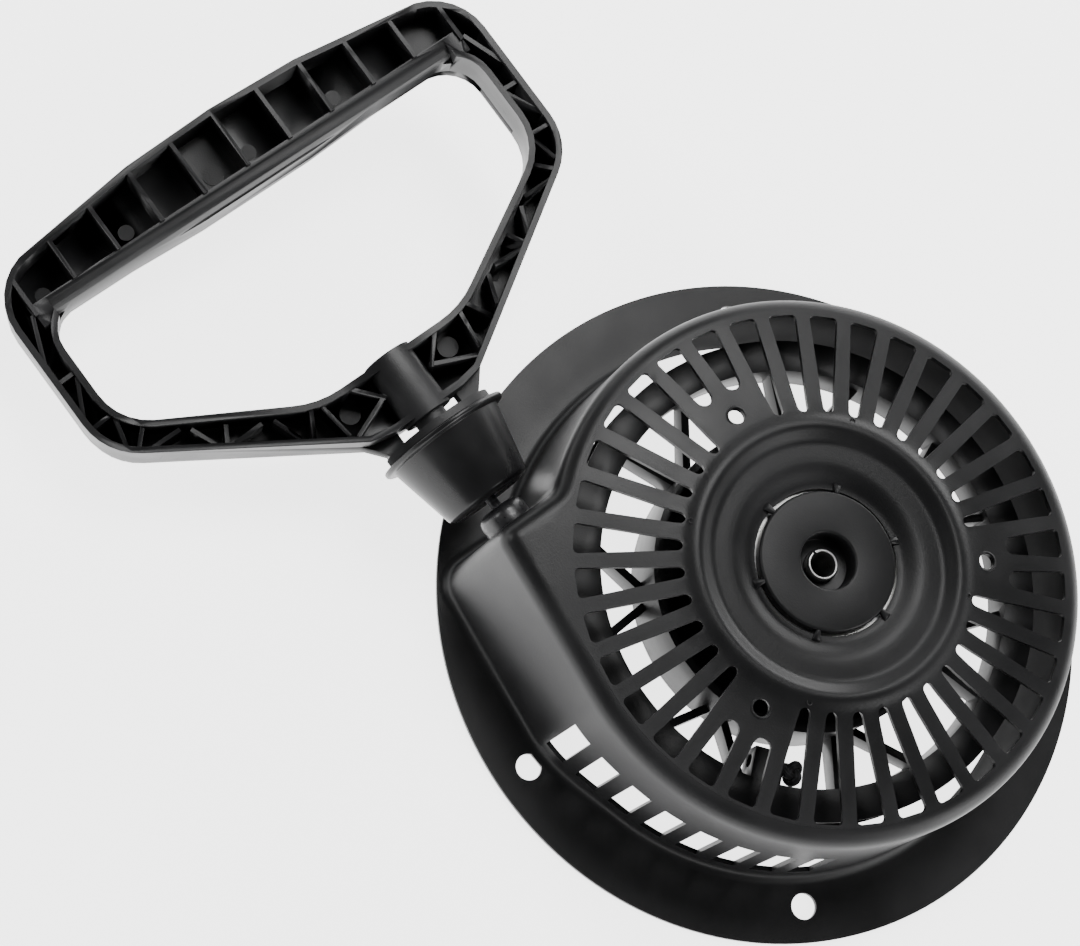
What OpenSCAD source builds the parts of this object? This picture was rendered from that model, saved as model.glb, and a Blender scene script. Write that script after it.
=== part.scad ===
// Recoil starter: pressed steel housing, recoil pulley with rope and rewind
// spring, two starting dogs under a retainer, and a wide mitten grip handle.
// Millimetres. Origin on the pulley's axis in the flange's mounting plane,
// +Z away from the engine, +X the way the rope is pulled.

/* [Housing] */
// Outer diameter of the mounting flange
flange_d = 216; // [205:1:260]
// Thickness of the pressed steel sheet
sheet_t = 1.5; // [1:0.1:2]
// Bolt circle of the mounting holes
bolt_circle_d = 193.6; // [190:0.2:196]
// Diameter of one mounting hole
bolt_hole_d = 8.5; // [6:0.1:10]
// Number of mounting holes
bolt_count = 6; // [3:1:8]
// Outer radius of the round side wall
wall_r = 85.5; // [84:0.5:90]
// Height of the front face at its rounded outer edge
face_h = 53.4; // [52:0.2:62]
// Rise of the front face from its edge to the central shoulder
face_rise = 5.6; // [4.6:0.1:8]
// Radius of the rounded edge between side wall and face
edge_r = 5.5; // [3:0.5:6]

/* [Grille] */
// Number of radial slots
slot_count = 36; // [24:2:36]
// Radius where the slots end
slot_out_r = 79; // [70:0.5:79]
// Radius where the slots begin
slot_in_r = 46.5; // [45:0.5:55]
// Radius where the shortened slots begin
slot_short_r = 59; // [57:0.5:65]
// Width of the bars between the slots
bar_w = 4.7; // [3.5:0.1:5.2]
// Width of one side vent
vent_w = 7.3; // [4:0.1:9]
// Height of one side vent
vent_h = 24; // [10:0.5:28]

/* [Pulley] */
// Outer radius of the sheave
sheave_r = 76; // [75.5:0.5:78]
// Inner radius of the sheave ring
sheave_in_r = 66; // [62:0.5:66]
// Width of the sheave
sheave_w = 12; // [11:0.5:13]
// Radius of the hub ring that the spokes stand on
hub_ring_r = 48.5; // [44:0.5:52]
// Radius of the centre post's running surface
post_r = 9; // [8:0.25:10]
// Radial running clearance of a turning piece
run_gap = 0.06; // [0.02:0.01:0.1]

/* [Rope and handle] */
// Diameter of the rope
rope_d = 3.6; // [3:0.1:4]
// Sideways distance of the rope from the pulley's axis
rope_y = 66; // [64:0.5:67]
// Height of the rope above the mounting plane
rope_z = 31; // [30:0.5:32]
// Turn of the grip about the rope at rest
grip_twist = -8; // [-12:1:12]
// Thickness of the grip above its parting line
grip_t = 12.5; // [11:0.5:14]
// Depth of the stepped lower layer of the grip
under_t = 6.5; // [4:0.5:8]
// Overall width of the grip
grip_w = 173.4; // [150:0.2:210]
// Distance from the grip's stem end to its far edge
grip_len = 113.5; // [110:0.5:130]
// Thickness of the grip's walls and rails
rail_t = 2; // [1.5:0.1:2.4]
// Number of finger pockets along the grip bar
pocket_count = 10; // [6:1:12]
// Outer radius of the cup's wide rim
cup_rim_r = 21.5; // [20:0.5:23]
// Length of the cup
cup_len = 24.5; // [22:0.5:28]

/* [Starting dogs] */
// Distance of a dog's pivot from the axis
dog_pivot_r = 20; // [19:0.5:21]
// Radius of a dog's pivot pin
dog_pin_r = 3; // [2.5:0.25:3.25]
// Turn of the retainer that brings the dogs fully out
cam_turn = 30; // [20:1:32]
// Swing of a dog when it is fully out
dog_swing = 32; // [20:1:34]

/* [Hidden] */
$fn = 72;
eps = 0.01;
black_steel = [0.06, 0.06, 0.065];
black_plastic = [0.09, 0.09, 0.095];
bare_steel = [0.62, 0.62, 0.6];
rope_tone = [0.16, 0.16, 0.17];

// Housing
shoulder_r = 42.5;
shoulder_z = face_h + face_rise;
shoulder_w = 1.4;
dome_r = 47.5;
dome_z = face_h + 3.6;
recess_r = 36.5;
recess_z = shoulder_z - 2.6;
collar_r = 25.5;
collar_drop = 3.4;
first_bolt = 28;
first_slot = 0.5;
foot_r = 3.5;
vent_z = 7.75;
vent_pitch = 8.2;
vent_first = 88.5;
vent_count = 8;
lock_hole_r = 51.5;
lock_hole_d = 5;
lock_angle = -4.5;
// Spout: a side wall tangent to the round wall and an end wall across the rope
spout_turn = -6.6;
spout_x = 65;
eyelet_barrel_r = 6;
eyelet_lip_r = 7.7;
eyelet_lip_t = 1.9;
rope_gap = 1;

// Heights along the pulley's axis
post_z0 = 12;
pin_z1 = recess_z - 4.8;
post_top_z = recess_z - 0.4;
post_floor_z = recess_z - 7.4;
post_flange_t = 2.4;
post_flange_z = recess_z - sheet_t - post_flange_t;
post_disc_r = 21.9;
post_flange_r = 31;
keeper_top_z = post_flange_z;
keeper_r = 40;
keeper_t = 1;
keeper_z0 = rope_z + sheave_w / 2 + 1.6;
cover_t = 0.8;
hub_r = 13;
hub_z1 = keeper_top_z - keeper_t - 1.6;
hub_plate_z = post_z0 + 0.15;
hub_plate_t = 4;
spoke_pairs = 7;
first_spoke = 8;
spoke_foot = 3;
spoke_head = 12;
spoke_t = 2.6;
boss_w = 9.6;
boss_angle = 129;
knot_tail = 1.5;
pin_r = 5;
pin_bore_r = 3.9;
pin_slit = 1;
pin_head_r = 8;
pin_head_t = 1.3;
pin_head_z = 0.4;
pin_floor_t = 0.8;
washer_r = 12.5;
washer_t = 0.85;
retainer_z = 1.9;
retainer_t = 1.4;
retainer_r = 31.5;
light_hole_angles = [35, 90, 215, 270];
light_hole_at = 17;
light_hole_r = 3;
cam_gap = 0.5;
dog_z0 = 4.3;
dog_t = 5;
dog_post_r = 1.6;
dog_post_x = 3;
dog_post_y = -9;

// Rope
rope_r = rope_d / 2;
groove_r = sheave_in_r + 1.7;
flange_lip_t = 1.8;
sheave_mid_z = rope_z + 1;
sheave_z0 = sheave_mid_z - sheave_w / 2;
wind_r1 = 73;
lead_off_r = wind_r1 + rope_r + 0.2;
eyelet_x = spout_x + 1;
eyelet_reach = norm([eyelet_x, rope_y]);
lead_off_angle = atan2(rope_y, eyelet_x) + acos(lead_off_r / eyelet_reach);
knot_r = sheave_in_r - 6.2;

// Handle, along the rope
cup_x0 = 75.5;
rope_x0 = cup_x0 - 1.5;
cup_x1 = cup_x0 + cup_len;
cup_small_r = 14.5;
cup_wall = 1.6;
collar_disc_r = 18.5;
collar_x = cup_x1 + 0.4;
collar_t = 2.4;
grip_x0 = 107.8;
grip_x1 = grip_x0 + grip_len;
arm_w = 8.9;
rib_t = 1.3;
base_t = 2;
stem_r = 8;
neck_r = 5.2;
gusset_t = 6;
seat_x = 112;
seat_r = 5.5;
window_x0 = 127.8;
window_x1 = grip_x1 - 24.5;
roll_x1 = window_x1 + 3.3;
parting_step = 1;
pocket_pitch = 15.7 * (grip_w / 173.4);
knot_x0 = seat_x + 2;
handle_knot_r = 4.4;
pulley_knot_r = 4;
seat_t = 1.8;

function polar(r, a) = [r * cos(a), r * sin(a)];
// Points of an arc, centre c, from angle a0 to a1
function arc(c, r, a0, a1, n = 6) = [for (i = [0:n]) c + polar(r, a0 + (a1 - a0) * i / n)];

module along_x(x, y = rope_y, z = rope_z) translate([x, y, z]) rotate([0, 90, 0]) children();
module ring(r1, r2, z, h) translate([0, 0, z]) difference() {
  cylinder(r = r2, h = h);
  translate([0, 0, -eps]) cylinder(r = r1, h = h + 2 * eps);
}

// Half section of the pressed cap, drawn in by t for its inner side
module cap_section(t) polygon(concat(
  [[0, -eps], [wall_r - t, -eps]],
  arc([wall_r - edge_r, face_h - edge_r], edge_r - t, 0, 83, 5),
  [[dome_r, dome_z - t], [shoulder_r + shoulder_w, shoulder_z - 0.5 - t], [shoulder_r, shoulder_z - t],
   [shoulder_r - shoulder_w + t / 2, shoulder_z - t], [recess_r - t / 2, recess_z - t], [0, recess_z - t]]));

// Plan of the spout, drawn in by d on its side wall and end wall
module spout_plan(d) {
  n = polar(wall_r - d - 0.12, 90 + spout_turn);
  x1 = spout_x - d;
  polygon([[0, 0], [-12, 40], n, [x1, n.y + (x1 - n.x) * tan(spout_turn)], [x1, 0]]);
}

module spout_solid(t) {
  steps = 5;
  translate([0, 0, -eps]) linear_extrude(face_h - edge_r + eps) spout_plan(t);
  for (i = [0:steps - 1]) {
    a = 90 * (i + 0.5) / steps;
    z0 = face_h - edge_r + (edge_r - t) * sin(90 * i / steps);
    z1 = face_h - edge_r + (edge_r - t) * sin(90 * (i + 1) / steps);
    translate([0, 0, z0 - eps]) linear_extrude(z1 - z0 + eps)
      spout_plan(edge_r - (edge_r - t) * cos(a));
  }
}

// One grille slot, between two bars of even width
module slot(r0) {
  half = 180 / slot_count;
  in_w = r0 * tan(half) - bar_w / 2;
  out_w = slot_out_r * tan(half) - bar_w / 2;
  tip = 1.6;
  linear_extrude(shoulder_z + 10) union() {
    polygon([[r0 + in_w, -in_w], [slot_out_r - tip, -out_w + 0.1], [slot_out_r, tip - out_w],
             [slot_out_r, out_w - tip], [slot_out_r - tip, out_w - 0.1], [r0 + in_w, in_w]]);
    translate([r0 + in_w, 0]) circle(r = in_w, $fn = 24);
  }
}

// The shortened slots stand either side of each locking hole
function is_short(i) = let (a = first_slot + i * 360 / slot_count - lock_angle,
                            m = a - 120 * round(a / 120)) abs(m) < 360 / slot_count;

module housing() color(black_steel) difference() {
  union() {
    cylinder(d = flange_d, h = sheet_t, $fn = 144);
    rotate_extrude($fn = 144) cap_section(0);
    spout_solid(0);
    rotate_extrude($fn = 144) translate([wall_r, sheet_t]) difference() {
      translate([-0.5, -0.5]) square([foot_r + 0.5, foot_r + 0.5]);
      translate([foot_r, foot_r]) circle(r = foot_r);
    }
  }
  rotate_extrude($fn = 144) cap_section(sheet_t);
  spout_solid(sheet_t);
  translate([0, 0, -1]) cylinder(r = wall_r - sheet_t, h = 2 * sheet_t, $fn = 144);
  translate([0, 0, recess_z - 3]) cylinder(r = collar_r, h = 10);
  for (i = [0:slot_count - 1])
    rotate([0, 0, first_slot + i * 360 / slot_count])
      translate([0, 0, face_h - 8]) slot(is_short(i) ? slot_short_r : slot_in_r);
  for (i = [0:2]) rotate([0, 0, lock_angle + i * 120])
    translate([lock_hole_r, 0, face_h - 5]) cylinder(d = lock_hole_d, h = 20, $fn = 32);
  for (i = [0:bolt_count - 1]) rotate([0, 0, first_bolt + i * 360 / bolt_count])
    translate([bolt_circle_d / 2, 0, -1]) cylinder(d = bolt_hole_d, h = 10, $fn = 48);
  for (i = [0:vent_count - 1]) rotate([0, 0, vent_first + i * vent_pitch])
    translate([wall_r - 8, -vent_w / 2, vent_z]) cube([16, vent_w, vent_h]);
  along_x(spout_x - 6) cylinder(r = eyelet_barrel_r, h = 12);
}

module centre_post() color(black_steel) difference() {
  union() {
    translate([0, 0, post_z0]) cylinder(r = post_r, h = post_flange_z - post_z0 + eps);
    translate([0, 0, post_flange_z]) cylinder(r = post_flange_r, h = post_flange_t);
    translate([0, 0, post_flange_z + 1]) cylinder(r = post_disc_r, h = post_top_z - post_flange_z - 1);
  }
  translate([0, 0, post_z0 - 1]) cylinder(r = pin_r, h = 60);
  translate([0, 0, post_floor_z]) cylinder(r = post_r - 0.3, h = 20);
}

module centre_pin() color(bare_steel) difference() {
  union() {
    translate([0, 0, pin_head_z]) cylinder(r = pin_head_r, h = pin_head_t);
    translate([0, 0, pin_head_z + 1]) cylinder(r = pin_r, h = pin_z1 - pin_head_z - 1);
  }
  translate([0, 0, pin_head_z + pin_floor_t]) cylinder(r = pin_bore_r, h = 70);
  translate([0, -pin_slit / 2, pin_head_z + 2]) cube([10, pin_slit, 70]);
}

module rope_eyelet() color(bare_steel) along_x(0) difference() {
  union() {
    translate([0, 0, spout_x - 3]) cylinder(r = eyelet_barrel_r, h = 9.6);
    translate([0, 0, spout_x - eyelet_lip_t - sheet_t]) cylinder(r = eyelet_lip_r, h = eyelet_lip_t);
    translate([0, 0, spout_x]) cylinder(r = eyelet_lip_r, h = 4.2);
    translate([0, 0, spout_x + 4]) cylinder(r1 = eyelet_lip_r, r2 = eyelet_lip_r - 1.5, h = 3);
  }
  translate([0, 0, spout_x - 10]) cylinder(r = rope_r + rope_gap, h = 30);
}

module spring_keeper() color(bare_steel) difference() {
  translate([0, 0, keeper_z0]) cylinder(r = keeper_r, h = keeper_top_z - keeper_z0);
  translate([0, 0, keeper_z0 - eps])
    cylinder(r = keeper_r - keeper_t, h = keeper_top_z - keeper_t - keeper_z0 + eps);
  cylinder(r = post_r + 0.4, h = 80);
}

module spring_cover() color(bare_steel)
  ring(hub_r + 2, keeper_r - keeper_t - 0.05, keeper_z0, cover_t);

// Flat spiral spring, hooked to the hub inside and to the keeper outside
module rewind_spring() color(bare_steel) {
  turns = 6;
  n = 132;
  r0 = hub_r + 1.6;
  r1 = keeper_r - keeper_t - 0.6;
  strip = 0.9;
  at = function(i, w) polar(r0 + (r1 - r0) * i / n + w, 360 * turns * i / n);
  z0 = keeper_z0 + cover_t + 0.6;
  translate([0, 0, z0]) linear_extrude(keeper_top_z - keeper_t - 0.6 - z0)
    polygon(concat([for (i = [0:n]) at(i, -strip / 2)], [for (i = [n:-1:0]) at(i, strip / 2)]));
}

// A spoke as an upright web from plan point a to plan point b
module spoke(a, b, t) {
  d = b - a;
  translate([a.x, a.y, 0]) rotate([0, 0, atan2(d.y, d.x)]) rotate([90, 0, 0])
    translate([0, 0, -t / 2]) linear_extrude(t)
      polygon([[0, hub_plate_z + 0.5], [norm(d), sheave_z0 + 1], [norm(d), sheave_z0 + 8],
               [0, hub_plate_z + 9]]);
}

module pulley() color(black_plastic) difference() {
  union() {
    ring(post_r + run_gap, hub_r, hub_plate_z, hub_z1 - hub_plate_z);
    ring(post_r + run_gap, hub_ring_r, hub_plate_z, hub_plate_t);
    ring(hub_ring_r - 2.5, hub_ring_r, hub_plate_z, keeper_z0 - 3 - hub_plate_z);
    rotate_extrude($fn = 144) polygon([
      [sheave_in_r, sheave_z0], [sheave_r, sheave_z0], [sheave_r, sheave_z0 + 1],
      [groove_r, sheave_z0 + flange_lip_t], [groove_r, sheave_z0 + sheave_w - flange_lip_t],
      [sheave_r, sheave_z0 + sheave_w - 1], [sheave_r, sheave_z0 + sheave_w],
      [sheave_in_r, sheave_z0 + sheave_w]]);
    for (i = [0:spoke_pairs - 1], s = [-1, 1])
      spoke(polar(hub_ring_r - 1, first_spoke + i * 360 / spoke_pairs + s * spoke_foot),
            polar(sheave_in_r + 0.6, first_spoke + i * 360 / spoke_pairs + s * spoke_head), spoke_t);
    rotate([0, 0, boss_angle]) translate([knot_r - 4, -boss_w / 2, sheave_z0 + 0.5])
      cube([sheave_in_r + 5 - knot_r, boss_w, sheave_w - 2]);
  }
  rotate([0, 0, boss_angle]) translate([knot_r, -20, sheave_mid_z]) rotate([-90, 0, 0])
    cylinder(r = rope_r + 0.3, h = 40, $fn = 32);
  for (s = [0, 180]) rotate([0, 0, s]) translate([dog_pivot_r, 0, 0])
    cylinder(r = dog_pin_r, h = 40, $fn = 48);
}

module upper_washer() color([0.85, 0.83, 0.76]) ring(post_r + 0.2, hub_r, hub_z1 + 0.1, 1.4);
module thrust_washer() color(bare_steel)
  ring(pin_r + 0.1, washer_r, post_z0 - washer_t, washer_t);

// Two and a half turns of square wire, drawn as a stack of touching rings
module brake_spring() color(bare_steel) {
  z0 = retainer_z + retainer_t;
  h = post_z0 - washer_t - z0;
  for (i = [0:3]) ring(6.2, 8.4 + 0.25 * (i % 2), z0 + i * h / 4, h / 4);
}

// Place of a dog's cam post in the pulley's frame, swung by angle s
function cam_post(s) = [dog_pivot_r, 0]
  + [dog_post_x * cos(s) - dog_post_y * sin(s), dog_post_x * sin(s) + dog_post_y * cos(s)];
function turned(p, a) = [p.x * cos(a) - p.y * sin(a), p.x * sin(a) + p.y * cos(a)];

module dog_retainer() color(bare_steel) difference() {
  steps = 10;
  translate([0, 0, retainer_z]) cylinder(r = retainer_r, h = retainer_t);
  cylinder(r = pin_r + run_gap, h = 10);
  for (s = [0, 180]) rotate([0, 0, s]) for (i = [0:steps]) {
    p = turned(cam_post(dog_swing * i / steps), -cam_turn * i / steps);
    translate([p.x, p.y, 0]) cylinder(r = dog_post_r + cam_gap, h = 10, $fn = 32);
  }
  for (a = light_hole_angles) rotate([0, 0, a])
    translate([light_hole_at, 0, 0]) cylinder(r = light_hole_r, h = 10, $fn = 32);
}

module dog_pins() color(bare_steel) for (s = [0, 180]) rotate([0, 0, s])
  translate([dog_pivot_r, 0, 3.9]) cylinder(r = dog_pin_r, h = hub_plate_z + hub_plate_t - 3.9, $fn = 48);

// One starting dog, its pivot at the origin and its tip ahead of it
module dog() translate([0, 0, dog_z0]) difference() {
  union() {
    cylinder(r = 5.6, h = dog_t, $fn = 48);
    linear_extrude(dog_t) polygon([[-4.6, -3], [-4.4, -10], [-1.5, -17.6], [3.2, -18.4], [5.2, -12],
                                   [5.4, -2], [3, 2]]);
    translate([dog_post_x, dog_post_y, -2.5]) cylinder(r = dog_post_r, h = 4, $fn = 32);
  }
  translate([0, 0, -5]) cylinder(r = dog_pin_r + run_gap, h = 20, $fn = 48);
}

module dog_1() color(bare_steel) translate([dog_pivot_r, 0, 0]) dog();
module dog_2() color(bare_steel) rotate([0, 0, 180]) translate([dog_pivot_r, 0, 0]) dog();
module dog_springs() color(bare_steel) for (s = [0, 180]) rotate([0, 0, s])
  translate([dog_pivot_r, 0, 0]) {
    z0 = dog_z0 + dog_t + 0.4;
    h = hub_plate_z - 0.2 - z0;
    for (i = [0:2]) ring(dog_pin_r + 0.4, dog_pin_r + 1.2 + 0.2 * (i % 2), z0 + i * h / 3, h / 3);
  }

module rope_winding() color(rope_tone)
  rotate_extrude($fn = 144) translate([groove_r + 0.1, sheave_z0 + flange_lip_t + 0.3])
    square([wind_r1 - groove_r - 0.1, sheave_w - 2 * flange_lip_t - 0.6]);

// The knot and the rope's end behind it, which passes through the boss on the sheave
module pulley_knot() color(rope_tone) rotate([0, 0, boss_angle])
  translate([knot_r, 0, sheave_mid_z]) rotate([-90, 0, 0]) {
    translate([0, 0, boss_w / 2 + pulley_knot_r + 0.1]) sphere(r = pulley_knot_r);
    translate([0, 0, -boss_w / 2 - knot_tail]) cylinder(r = rope_r, h = boss_w + knot_tail + pulley_knot_r);
  }

// The stretch from the winding to just outside the eyelet, an eight-sided tube
// swept along a straight run, an easy bend and a second straight run
rope_sides = 8;
function run_points() = let (
    start = polar(lead_off_r, lead_off_angle),
    slope = atan2(rope_y - start.y, eyelet_x - start.x),
    bend_r = 40,
    back = bend_r * tan(-slope / 2),
    c = [eyelet_x + back, rope_y + bend_r])
  concat([start], arc(c, bend_r, 270 + slope, 270, 5), [[rope_x0, rope_y]]);
module rope_run() color(rope_tone) {
  p = run_points();
  n = len(p);
  dirs = [for (i = [0:n - 1]) let (d = p[min(i + 1, n - 1)] - p[max(i - 1, 0)]) d / norm(d)];
  rings = [for (i = [0:n - 1], k = [0:rope_sides - 1]) let (a = 360 * (k + 0.5) / rope_sides)
    [p[i].x - dirs[i].y * rope_r * cos(a), p[i].y + dirs[i].x * rope_r * cos(a), rope_z + rope_r * sin(a)]];
  sides = [for (i = [0:n - 2], k = [0:rope_sides - 1]) let (j = (k + 1) % rope_sides)
    [i * rope_sides + k, i * rope_sides + j, (i + 1) * rope_sides + j, (i + 1) * rope_sides + k]];
  first = [for (k = [rope_sides - 1:-1:0]) k];
  last = [for (k = [0:rope_sides - 1]) (n - 1) * rope_sides + k];
  polyhedron(rings, concat([first], sides, [last]));
}

module rope_lead() color(rope_tone) along_x(rope_x0) cylinder(r = rope_r, h = knot_x0 - 0.4 - rope_x0);

module handle_cup() color(black_plastic) along_x(0) rotate_extrude($fn = 96) {
  polygon([[rope_r + 0.5, cup_x0], [cup_small_r - 2, cup_x0], [cup_small_r - 0.6, cup_x0 + 0.6],
           [cup_small_r, cup_x0 + 2], [cup_rim_r - 2.2, cup_x1 - 1.8], [cup_rim_r, cup_x1 - 1.6],
           [cup_rim_r, cup_x1], [cup_rim_r - 2.2 - cup_wall, cup_x1],
           [cup_small_r - cup_wall, cup_x0 + 2 + cup_wall], [rope_r + 0.5, cup_x0 + cup_wall]]);
}

// Half of the grip's outline in its own plane, x along the rope, drawn in by d
half_w = grip_w / 2;
function half_outline(d) = concat(
  [[grip_x0 + d, 0], [grip_x0 + d, 13 - d / 4], [grip_x0 + 1.6 + d * 0.8, 20.5 - d / 2]],
  arc([162, half_w - 20], 20 - d, 148, 90, 6),
  arc([grip_x1 - 25.2, half_w - 19], 19 - d, 90, 16, 6),
  [[grip_x1 - 5.2 - d, 62], [grip_x1 - 1.2 - d, 31], [grip_x1 - d, 0]]);
function mirrored(p) = [for (i = [len(p) - 1:-1:0]) if (p[i].y > 0.001) [p[i].x, -p[i].y]];
module grip_outline(d) {
  h = half_outline(d);
  polygon(concat(h, mirrored(h)));
}

// Half of the hand opening, grown by d
window_half = half_w - arm_w;
function half_window(d) = concat(
  [[window_x0 - d, 0]],
  arc([window_x0 + 30, 18.5], 30 + d, 180, 150, 4),
  arc([167, window_half - 18], 18 + d, 150, 90, 5),
  arc([window_x1 - 13, window_half - 12], 12 + d, 90, 8, 6),
  [[window_x1 - 1.2 + d, 45], [window_x1 - 2.4 + d, 20], [window_x1 - 2.6 + d, 0]]);
module grip_window(d) {
  h = half_window(d);
  polygon(concat(h, mirrored(h)));
}

module grip_plane() translate([0, rope_y, rope_z]) rotate([grip_twist, 0, 0]) children();

// Web between the rails, from plan point a to plan point b, on both arms
module rib(a, b) {
  s = half_w / 86.7;
  for (side = [-1, 1]) {
    p = [a.x, a.y * s * side];
    d = [b.x, b.y * s * side] - p;
    translate([p.x, p.y, 0.5 - grip_t / 2 - under_t]) rotate([0, 0, atan2(d.y, d.x)])
      translate([-0.8, -rib_t / 2, 0]) cube([norm(d) + 1.6, rib_t, under_t + grip_t - 1.5]);
  }
}

module grip_ribs() {
  rib([197, 80], [184.5, 84.8]);
  rib([176.6, 80.2], [176.4, 84.4]);
  rib([174.3, 80.1], [164.5, 84.8]);
  rib([160, 79.2], [159.7, 84.2]);
  rib([157.6, 78], [150.5, 79.6]);
  rib([151.1, 73.4], [147.3, 77.1]);
  rib([145, 65], [145, 73.5]);
  rib([142.4, 61.2], [135.6, 58.2]);
  rib([137.8, 52.7], [134, 55]);
  rib([132.6, 44.3], [132.3, 52.5]);
  rib([130.6, 39.8], [123.3, 37.1]);
  rib([127.5, 29.2], [120.7, 33]);
  rib([126.6, 25.8], [115.4, 24.4]);
  rib([126.8, 16.3], [118.5, 9]);
  rib([118.5, 9], [113.3, 21.5]);
}

// Section of the rounded edge that the fingers close on, x then height
module roll_section(z1) {
  x0 = window_x1 - 4;
  h = grip_t / 2;
  polygon(concat(arc([roll_x1, 0], h - 1, 90, 180, 5), [[x0, 0], [x0, z1], [roll_x1, z1]]));
}
module along_grip() rotate([90, 0, 0]) linear_extrude(2 * window_half - 9, center = true) children();

// Half-depth web on each side between the stem's collar and the outer rail
module gussets() for (side = [0, 1]) mirror([0, side, 0])
  translate([0, 0, -grip_t / 2]) linear_extrude(gusset_t) polygon([
    [collar_x + 1, 11], [collar_x + 1, collar_disc_r - 1.8],
    [collar_x + collar_t + 1.4, collar_disc_r - 1.4], [grip_x0 + 4, 23.5], [grip_x0 + 1, 11]]);

// The grip's plan between d inside its outline and d outside its window, from z up by h
module grip_layer(d, z, h) translate([0, 0, z]) linear_extrude(h) difference() {
  grip_outline(d);
  grip_window(d);
}

// The two rails that follow the outline and the window, stepped in by d
module grip_rails(d, z, h) translate([0, 0, z]) linear_extrude(h) {
  difference() {
    grip_outline(d);
    grip_outline(d + rail_t);
  }
  difference() {
    grip_window(d + rail_t);
    grip_window(d);
  }
}

module grip_body() {
  z0 = -grip_t / 2;
  difference() {
    union() {
      grip_layer(0, z0, base_t);
      grip_rails(0, z0, grip_t);
      grip_rails(parting_step, z0 - under_t, under_t + 1);
      intersection() {
        union() {
          grip_layer(0.3, z0, grip_t);
          grip_layer(parting_step + 0.3, z0 - under_t, under_t + 1);
        }
        union() {
          grip_ribs();
          translate([window_x1 - 4, -window_half - 1, z0 - under_t])
            cube([roll_x1 - window_x1 + 4.4, 2 * window_half + 2, under_t + grip_t - 1]);
          for (i = [0:pocket_count])
            translate([window_x1, (i - pocket_count / 2) * pocket_pitch - rib_t / 2, z0 - under_t + 0.5])
              cube([40, rib_t, under_t + grip_t - 0.5]);
        }
      }
    }
    along_grip() roll_section(grip_t);
  }
}

module handle_grip() color(black_plastic) difference() {
  union() {
    grip_plane() grip_body();
    grip_plane() gussets();
    along_x(collar_x) cylinder(r = collar_disc_r, h = collar_t);
    along_x(collar_x) cylinder(r = neck_r, h = 12);
    along_x(grip_x0 - 1) cylinder(r = stem_r, h = window_x0 - grip_x0 + 2);
  }
  along_x(collar_x - 1) cylinder(r = rope_r + 0.5, h = 60);
  along_x(seat_x) cylinder(r = seat_r, h = 60);
}

module handle_insert() color(bare_steel) along_x(seat_x) difference() {
  cylinder(r = seat_r - 0.05, h = seat_t);
  translate([0, 0, -1]) cylinder(r = rope_r + 0.3, h = 5);
}

module handle_knot() color(rope_tone) along_x(knot_x0 + handle_knot_r) sphere(r = handle_knot_r);

housing();
centre_post();
centre_pin();
rope_eyelet();
spring_keeper();
spring_cover();
rewind_spring();
pulley();
upper_washer();
thrust_washer();
brake_spring();
dog_retainer();
dog_pins();
dog_1();
dog_2();
dog_springs();
rope_winding();
pulley_knot();
rope_run();
rope_lead();
handle_cup();
handle_grip();
handle_insert();
handle_knot();
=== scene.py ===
import math
import bmesh
import bpy
import numpy as np
from mathutils import Matrix, Vector
from mathutils.geometry import delaunay_2d_cdt


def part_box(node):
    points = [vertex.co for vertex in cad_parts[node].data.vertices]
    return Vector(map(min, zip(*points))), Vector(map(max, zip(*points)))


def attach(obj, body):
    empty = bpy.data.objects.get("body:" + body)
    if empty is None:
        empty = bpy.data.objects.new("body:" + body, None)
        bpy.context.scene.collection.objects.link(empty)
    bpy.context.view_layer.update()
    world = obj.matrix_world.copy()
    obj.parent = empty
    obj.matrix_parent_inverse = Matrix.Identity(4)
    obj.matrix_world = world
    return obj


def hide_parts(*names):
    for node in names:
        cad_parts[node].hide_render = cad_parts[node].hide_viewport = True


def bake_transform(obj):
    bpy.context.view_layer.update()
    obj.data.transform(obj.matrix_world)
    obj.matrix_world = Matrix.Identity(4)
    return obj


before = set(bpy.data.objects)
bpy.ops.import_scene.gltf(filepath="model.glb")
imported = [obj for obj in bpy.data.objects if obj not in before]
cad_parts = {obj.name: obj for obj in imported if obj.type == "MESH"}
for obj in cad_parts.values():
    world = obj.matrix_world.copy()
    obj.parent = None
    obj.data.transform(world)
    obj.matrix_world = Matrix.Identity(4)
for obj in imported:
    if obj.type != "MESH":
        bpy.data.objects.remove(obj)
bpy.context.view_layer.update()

# Recoil starter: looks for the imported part. Lengths in the dictionaries are millimetres.
mm = 0.001
ropeLine = {"y": 66.0, "z": 31.0, "radius": 1.8}
gripLean = 8
print("frame loaded")


# A shader socket that adds, scales and mixes as plain arithmetic
class Wire:
    def __init__(self, tree, socket):
        self.tree = tree
        self.socket = socket

    def calc(self, operation, first, second=None):
        return wireFrom(self.tree, "ShaderNodeMath", {"operation": operation}, {0: first, 1: second})

    def __add__(self, other):
        return self.calc("ADD", self, other)

    def __sub__(self, other):
        return self.calc("SUBTRACT", self, other)

    def __mul__(self, other):
        return self.calc("MULTIPLY", self, other)

    def __truediv__(self, other):
        return self.calc("DIVIDE", self, other)

    def sine(self):
        return self.calc("SINE", self)

    # rises from toLow to toHigh as the value passes from low to high
    def over(self, low, high, toLow=0.0, toHigh=1.0):
        ends = {"From Min": low, "From Max": high, "To Min": toLow, "To Max": toHigh}
        smooth = {"interpolation_type": "SMOOTHSTEP"}
        return wireFrom(self.tree, "ShaderNodeMapRange", smooth, {"Value": self, **ends}, "Result")


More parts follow.
